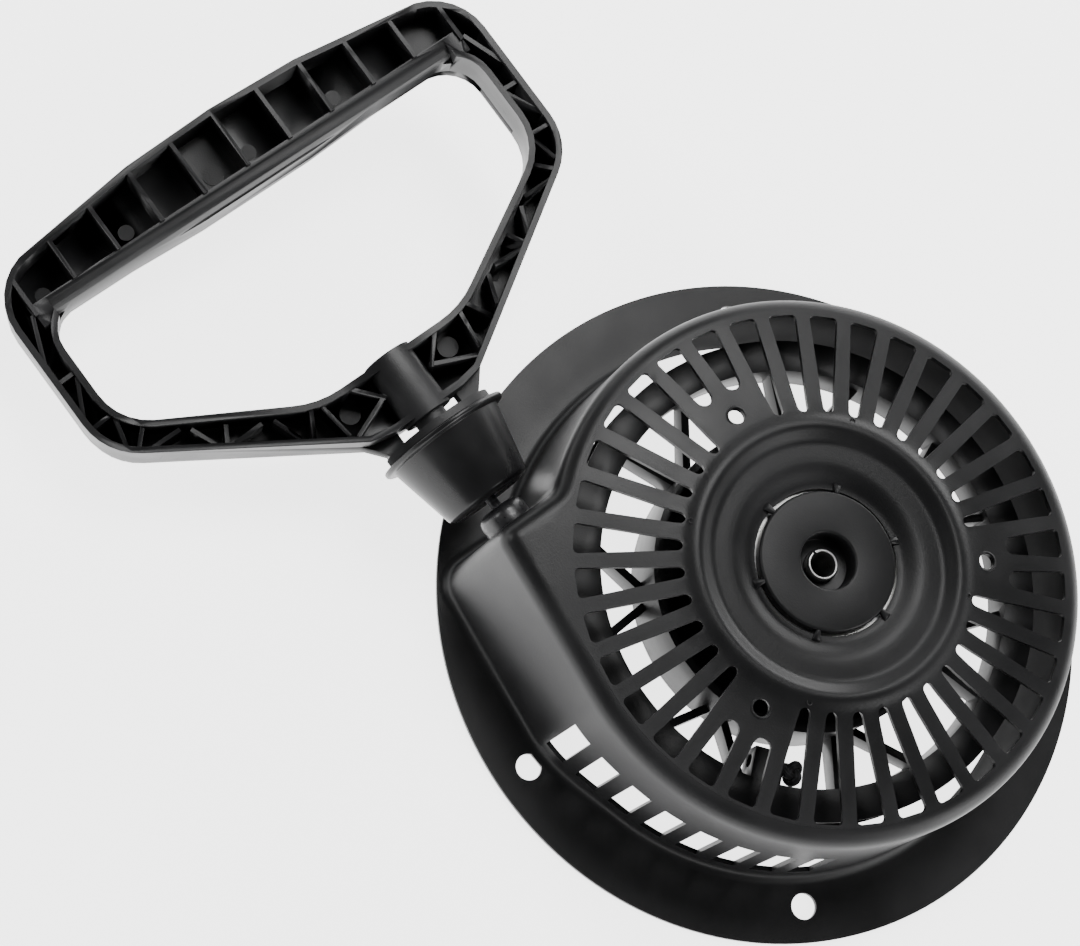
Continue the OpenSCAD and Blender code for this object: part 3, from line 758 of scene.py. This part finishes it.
def buildDrum():
    keeper = [(9.4, 51.5), (9.4, 52.5), (40, 52.5), (40, 38.6), (39, 38.6), (39, 51.5)]
    place(turned("springDrum", keeper, zinc, 0.35), "root", "zinc_steel", "spring_keeper")
    cover = [(15, 38.6), (39, 38.6), (39, 39.4), (15, 39.4)]
    place(turned("drumCover", cover, zinc, 0.15), "root", "zinc_steel", "spring_cover")
    low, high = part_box("upper_washer")
    ring = [(9.2, low.z / mm), (13, low.z / mm), (13, high.z / mm), (9.2, high.z / mm)]
    place(turned("nylonWasher", ring, nylon, 0.2), "root", "pale_nylon", "upper_washer")
    low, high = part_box("thrust_washer")
    ring = [(5.1, low.z / mm), (12.5, low.z / mm), (12.5, high.z / mm), (5.1, high.z / mm)]
    place(turned("thrustWasher", ring, zinc, 0.15), "root", "zinc_steel", "thrust_washer")
    insert = [(2.1, 112.0), (5.45, 112.0), (5.45, 113.8), (2.1, 113.8)]
    place(turned("ropeWasher", insert, zinc, 0.2, alongRope=True), "handle", "zinc_steel", "handle_insert")


buildPost()
buildPin()
buildEyelet()
buildCup()
buildDrum()
print("turned parts ready")


place(roundedCopy("pulley", "sheavePulley", sheavePlastic, 0.35), "pulley", "black_nylon", "pulley")
place(roundedCopy("dog_retainer", "dogRetainer", zinc, 0.2), "retainer", "zinc_steel", "dog_retainer")
place(roundedCopy("dog_1", "firstDog", zinc, 0.3), "dog_1", "zinc_steel", "dog_1")
place(roundedCopy("dog_2", "secondDog", zinc, 0.3), "dog_2", "zinc_steel", "dog_2")
place(roundedCopy("dog_pins", "dogPins", zinc, 0.2), "pulley", "zinc_steel", "dog_pins")
place(roundedCopy("handle_grip", "mittenGrip", gripPlastic, 0.3), "handle", "grip_plastic", "handle_grip")
print("eased copies ready")


# A tree with a named input for each size; endTree closes it
def startTree(name, sizes):
    tree = bpy.data.node_groups.new(name, "GeometryNodeTree")
    tree.interface.new_socket("Geometry", in_out="INPUT", socket_type="NodeSocketGeometry")
    tree.interface.new_socket("Geometry", in_out="OUTPUT", socket_type="NodeSocketGeometry")
    keys = {}
    for label, kind in sizes.items():
        keys[label] = tree.interface.new_socket(label, in_out="INPUT", socket_type=kind).identifier
    source = addNode(tree, "NodeGroupInput")
    return tree, keys, source


def endTree(tree, geometry, material):
    smooth = addNode(tree, "GeometryNodeSetShadeSmooth", None, {"Geometry": geometry})
    real = addNode(tree, "GeometryNodeRealizeInstances", None, {"Geometry": smooth.outputs[0]})
    coated = addNode(tree, "GeometryNodeSetMaterial", None,
                     {"Geometry": real.outputs[0], "Material": material})
    addNode(tree, "NodeGroupOutput", None, {0: coated.outputs[0]})


# Sweeps a line of edges with a round section and stores how far along and round each point is
def sweptRopeTree():
    tree, keys, source = startTree("sweptRope", {"Radius": "NodeSocketFloat"})
    curve = addNode(tree, "GeometryNodeMeshToCurve", None, {"Mesh": source.outputs["Geometry"]})
    lengthAt = addNode(tree, "GeometryNodeSplineParameter")
    keepLength = addNode(tree, "GeometryNodeCaptureAttribute", None, {"Geometry": curve.outputs[0]})
    keepLength.capture_items.new("FLOAT", "along")
    tree.links.new(lengthAt.outputs["Length"], keepLength.inputs[1])
    ring = addNode(tree, "GeometryNodeCurvePrimitiveCircle", None,
                   {"Resolution": 12, "Radius": source.outputs["Radius"]})
    keepTurn = addNode(tree, "GeometryNodeCaptureAttribute", None, {"Geometry": ring.outputs[0]})
    keepTurn.capture_items.new("FLOAT", "around")
    tree.links.new(lengthAt.outputs["Factor"], keepTurn.inputs[1])
    tube = addNode(tree, "GeometryNodeCurveToMesh", None,
                   {"Curve": keepLength.outputs[0], "Profile Curve": keepTurn.outputs[0], "Fill Caps": True})
    perDiameter = addNode(tree, "ShaderNodeMath", {"operation": "DIVIDE"},
                          {0: keepLength.outputs[1], 1: 2 * ropeLine["radius"] * mm})
    lay = addNode(tree, "ShaderNodeCombineXYZ", None, {0: perDiameter.outputs[0], 1: keepTurn.outputs[1]})
    stored = addNode(tree, "GeometryNodeStoreNamedAttribute",
                     {"data_type": "FLOAT_VECTOR", "domain": "POINT"},
                     {"Geometry": tube.outputs[0], "Name": "lay", "Value": lay.outputs[0]})
    endTree(tree, stored.outputs[0], ropeCover)
    return tree, keys


# A coil of round wire or flat strip
def woundStripTree():
    sizes = {"Turns": "NodeSocketFloat", "Start Radius": "NodeSocketFloat", "End Radius": "NodeSocketFloat",
             "Height": "NodeSocketFloat", "Wire": "NodeSocketFloat", "Strip": "NodeSocketFloat",
             "Round": "NodeSocketBool", "Place": "NodeSocketVector"}
    tree, keys, source = startTree("woundStrip", sizes)
    spiral = addNode(tree, "GeometryNodeCurveSpiral", None,
                     {"Resolution": 48, "Rotations": source.outputs["Turns"],
                      "Start Radius": source.outputs["Start Radius"],
                      "End Radius": source.outputs["End Radius"], "Height": source.outputs["Height"]})
    wire = addNode(tree, "GeometryNodeCurvePrimitiveCircle", None,
                   {"Resolution": 10, "Radius": source.outputs["Wire"]})
    strip = addNode(tree, "GeometryNodeCurvePrimitiveQuadrilateral", None,
                    {"Width": source.outputs["Wire"], "Height": source.outputs["Strip"]})
    section = addNode(tree, "GeometryNodeSwitch", {"input_type": "GEOMETRY"},
                      {"Switch": source.outputs["Round"], "False": strip.outputs[0],
                       "True": wire.outputs[0]})
    level = addNode(tree, "GeometryNodeSetCurveNormal", {"mode": "Z_UP"}, {"Curve": spiral.outputs[0]})
    tube = addNode(tree, "GeometryNodeCurveToMesh", None,
                   {"Curve": level.outputs[0], "Profile Curve": section.outputs[0], "Fill Caps": True})
    moved = addNode(tree, "GeometryNodeTransform", None,
                    {"Geometry": tube.outputs[0], "Translation": source.outputs["Place"]})
    endTree(tree, moved.outputs[0], blued)
    return tree, keys


# Runs a tree on a line of points and keeps the plain mesh
def grown(name, tree, keys, sizes, points=(), edges=()):
    mesh = bpy.data.meshes.new(name)
    mesh.from_pydata([tuple(c * mm for c in p) for p in points], list(edges), [])
    obj = newObject(name, mesh)
    made = obj.modifiers.new("grown", "NODES")
    made.node_group = tree
    for label, value in sizes.items():
        made[keys[label]] = value
    frozen(obj)
    return obj


def line(points):
    return list(zip(range(len(points) - 1), range(1, len(points))))


rope = {
    "sheaveZ": 32.0, "firstR": 69.6, "lastR": 71.2, "turns": 5, "swing": 2.2, "startAngle": 137.0,
    "woundRadius": 1.75, "bossR": 59.8, "bossAngle": 129.0, "knotOff": 8.9,
    "leadR": 75.0, "eyeletX": 66.0, "bend": 40.0, "leadStart": 74.0, "leadEnd": 113.7,
}


# Turns laid to and fro across the sheave, climbing part of a layer
def woundTurns():
    whole = rope["turns"] * 360
    points = []
    for i in range(rope["turns"] * 72 + 1):
        a = i * 5.0
        across = rope["swing"] * (1 - 2 * abs((a / 360 % 2) - 1))
        climb = (1 - math.cos(math.pi * a / whole)) / 2
        p = polar(rope["firstR"] + (rope["lastR"] - rope["firstR"]) * climb, rope["startAngle"] - a)
        points.append((p[0], p[1], rope["sheaveZ"] + across))
    return points


# Leaves the winding on a tangent and bends easily into the eyelet
def leadOffPoints():
    reach = math.hypot(rope["eyeletX"], ropeLine["y"])
    angle = math.degrees(math.atan2(ropeLine["y"], rope["eyeletX"]) + math.acos(rope["leadR"] / reach))
    start = polar(rope["leadR"], angle)
    slope = math.atan2(ropeLine["y"] - start[1], rope["eyeletX"] - start[0])
    back = rope["bend"] * math.tan(-slope / 2)
    centre = np.array((rope["eyeletX"] + back, ropeLine["y"] + rope["bend"]))
    bendStart = centre + polar(rope["bend"], 270 + math.degrees(slope))
    path = [start + (bendStart - start) * i / 10 for i in range(10)]
    path += [centre + polar(rope["bend"], 270 + math.degrees(slope) * (1 - i / 8)) for i in range(9)]
    path += [np.array((rope["leadStart"], ropeLine["y"]))]
    return [(p[0], p[1], ropeLine["z"]) for p in path]


# Overhand knot: a trefoil round the line of the rope, which lies along X or Z
def knotPoints(centre, axis):
    across = 2.75
    points = []
    for i in range(96):
        t = math.tau * i / 96
        u = math.sin(t) + 2 * math.sin(2 * t)
        v = math.cos(t) - 2 * math.cos(2 * t)
        w = -math.sin(3 * t) * 1.3
        place3 = (w, u, v) if axis == "x" else (u, v, w)
        points.append(tuple(c + p * across / 3 for c, p in zip(centre, place3)))
    return points


def buildRope():
    tree, keys = sweptRopeTree()
    radius = {"Radius": ropeLine["radius"] * mm}
    coil = woundTurns()
    winding = grown("woundRope", tree, keys, {"Radius": rope["woundRadius"] * mm}, coil, line(coil))
    place(winding, "pulley", "rope", "rope_winding")
    run = leadOffPoints()
    place(grown("ropeRun", tree, keys, radius, run, line(run)), "root", "rope", "rope_run")

    low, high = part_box("handle_knot")
    boss = polar(rope["bossR"], rope["bossAngle"]) + polar(rope["knotOff"], rope["bossAngle"] + 90)
    knots = [  # name, body, node, centre, line of the rope
        ("handleKnot", "handle", "handle_knot", (low + high) / 2 / mm, "x"),
        ("pulleyKnot", "pulley", "pulley_knot", (boss[0], boss[1], rope["sheaveZ"]), "z"),
    ]
    for name, body, node, centre, axis in knots:
        path = knotPoints(centre, axis)
        loop = line(path) + [(len(path) - 1, 0)]
        place(grown(name, tree, keys, {"Radius": 1.45 * mm}, path, loop), body, "rope", node)

    first = rope["leadStart"] - 0.5
    taut = [(first + (rope["leadEnd"] - first) * i / 60, ropeLine["y"], ropeLine["z"]) for i in range(61)]
    lead = grown("ropeLead", tree, keys, radius, taut, line(taut))
    lead.data.materials.clear()
    lead.data.materials.append(ropeTaut)
    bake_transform(lead)
    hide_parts("rope_lead")


def buildSprings():
    tree, keys = woundStripTree()

    def coil(name, turns, radii, height, wire, strip, spot):  # strip 0 gives round wire
        return grown(name, tree, keys, {
            "Turns": turns, "Start Radius": radii[0] * mm, "End Radius": radii[1] * mm,
            "Height": height * mm, "Wire": wire * mm, "Strip": strip * mm, "Round": strip == 0,
            "Place": tuple(c * mm for c in spot)})

    rewind = coil("rewindSpring", 6.0, (14.6, 38.4), 0.0, 0.9, 10.8, (0, 0, 45.45))
    place(rewind, "root", "spring_steel", "rewind_spring")
    brake = coil("brakeSpring", 3.5, (7.3, 7.3), 6.4, 0.75, 0.0, (0, 0, 4.2))
    place(brake, "root", "spring_steel", "brake_spring")
    first = coil("dogSpring1", 3.0, (3.9, 3.9), 1.5, 0.35, 0.0, (20, 0, 10.1))
    place(first, "pulley", "spring_steel", "dog_springs")
    second = coil("dogSpring2", 3.0, (3.9, 3.9), 1.5, 0.35, 0.0, (-20, 0, 10.1))
    place(second, "pulley", "spring_steel")


# One small mark, a disc or a ring, at each point, lying on the point's own tilt
def studTree():
    sizes = {"Radius": "NodeSocketFloat", "Thickness": "NodeSocketFloat", "Ring": "NodeSocketBool"}
    tree, keys, source = startTree("studs", sizes)
    spots = addNode(tree, "GeometryNodeMeshToPoints", None, {"Mesh": source.outputs["Geometry"]})
    radius = source.outputs["Radius"]
    thickness = source.outputs["Thickness"]
    cap = addNode(tree, "GeometryNodeMeshCylinder", None,
                  {"Vertices": 28, "Radius": radius, "Depth": thickness})
    loop = addNode(tree, "GeometryNodeCurvePrimitiveCircle", None, {"Resolution": 24, "Radius": radius})
    section = addNode(tree, "GeometryNodeCurvePrimitiveCircle", None, {"Resolution": 8, "Radius": thickness})
    hoop = addNode(tree, "GeometryNodeCurveToMesh", None,
                   {"Curve": loop.outputs[0], "Profile Curve": section.outputs[0]})
    shape = addNode(tree, "GeometryNodeSwitch", {"input_type": "GEOMETRY"},
                    {"Switch": source.outputs["Ring"], "False": cap.outputs[0], "True": hoop.outputs[0]})
    tilt = addNode(tree, "GeometryNodeInputNamedAttribute", {"data_type": "FLOAT_VECTOR"}, {"Name": "tilt"})
    align = addNode(tree, "FunctionNodeAlignRotationToVector", {"axis": "Z"}, {"Vector": tilt.outputs[0]})
    placed = addNode(tree, "GeometryNodeInstanceOnPoints", None,
                     {"Points": spots.outputs[0], "Instance": shape.outputs[0],
                      "Rotation": align.outputs[0]})
    return tree, keys, placed


def marks(name, body, slotName, material, spots, radius, thickness, ring, tilt=(0, 0, 1)):
    tree, keys, placed = studTree()
    endTree(tree, placed.outputs[0], material)
    mesh = bpy.data.meshes.new(name)
    mesh.from_pydata([tuple(c * mm for c in p) for p in spots], [], [])
    lean = mesh.attributes.new("tilt", "FLOAT_VECTOR", "POINT")
    lean.data.foreach_set("vector", list(tilt) * len(spots))
    obj = newObject(name, mesh)
    made = obj.modifiers.new("grown", "NODES")
    made.node_group = tree
    made[keys["Radius"]] = radius * mm
    made[keys["Thickness"]] = thickness * mm
    made[keys["Ring"]] = ring
    frozen(obj)
    smoothUp(obj, 30)
    return place(obj, body, slotName)


# A place in the grip's own plane, which leans about the rope
def gripPoint(along, across, height):
    lean = math.radians(-gripLean)
    return (along, ropeLine["y"] + across * math.cos(lean) - height * math.sin(lean),
            ropeLine["z"] + across * math.sin(lean) + height * math.cos(lean))


def buildMarks():
    floorZ = -4.25
    lean = (0, math.sin(math.radians(gripLean)), math.cos(math.radians(gripLean)))
    ejectors = [  # name, radius, places along and across the grip
        ("ejectorMarks", 2.5, [(203.3, 72.5), (205.7, 41), (206, -4.4), (206, -36.3), (202.2, -67.5)]),
        ("largeEjectorMarks", 3.3, [(206, 8.8), (121.3, 18.5), (121.3, -18.5)]),
        ("tinyEjectorMarks", 1.4, [(143, -65.5), (131, -44)]),
    ]
    for name, radius, spots in ejectors:
        spots = [gripPoint(x, w, floorZ) for x, w in spots]
        marks(name, "handle", "grip_plastic", gripPlastic, spots, radius, 0.5, False, lean)
    dimples = [(*polar(44.9, 41 + 90 * i), 58.15) for i in range(4)]
    marks("facePips", "root", "painted_steel", paint, dimples, 0.75, 0.22, True)
    collars = [(*polar(housing["lockR"], housing["lockAngle"] + 120 * i), 56.42) for i in range(3)]
    marks("lockRims", "root", "painted_steel", paint, collars, 2.95, 0.4, True)


# Six nibs of the face pressed over the post's disc; each section is (radius, height, half width)
def buildStakes():
    sections = [(25.4, 54.0, 1.6), (24.6, 54.9, 1.3), (23.2, 55.3, 1.0), (21.7, 55.5, 0.7),
                (21.6, 54.2, 0.7), (24.6, 53.6, 1.3)]
    firstStake = 12
    points, faces = [], []
    for i in range(6):
        base = len(points)
        for r, z, half in sections:
            for side in (-half, 0, half):
                lift = 0.35 if side == 0 and z > 54.5 else 0.0
                a = firstStake + 60 * i + math.degrees(side / r)
                points.append((*polar(r, a), z + lift))
        for k in range(6):
            m = (k + 1) % 6
            for j in range(2):
                here = base + 3 * k + j
                there = base + 3 * m + j
                faces.append((here, here + 1, there + 1, there))
        faces.append(tuple(base + 3 * k for k in range(6)))
        faces.append(tuple(base + 3 * k + 2 for k in range(5, -1, -1)))
    obj = meshPiece("postStakes", points, faces, paint)
    tidyMesh(obj.data)
    softEdges(obj, 0.2, 30, 2, 60)
    place(obj, "root", "painted_steel")


buildRope()
buildSprings()
buildMarks()
buildStakes()
print("rope, springs and small marks ready")
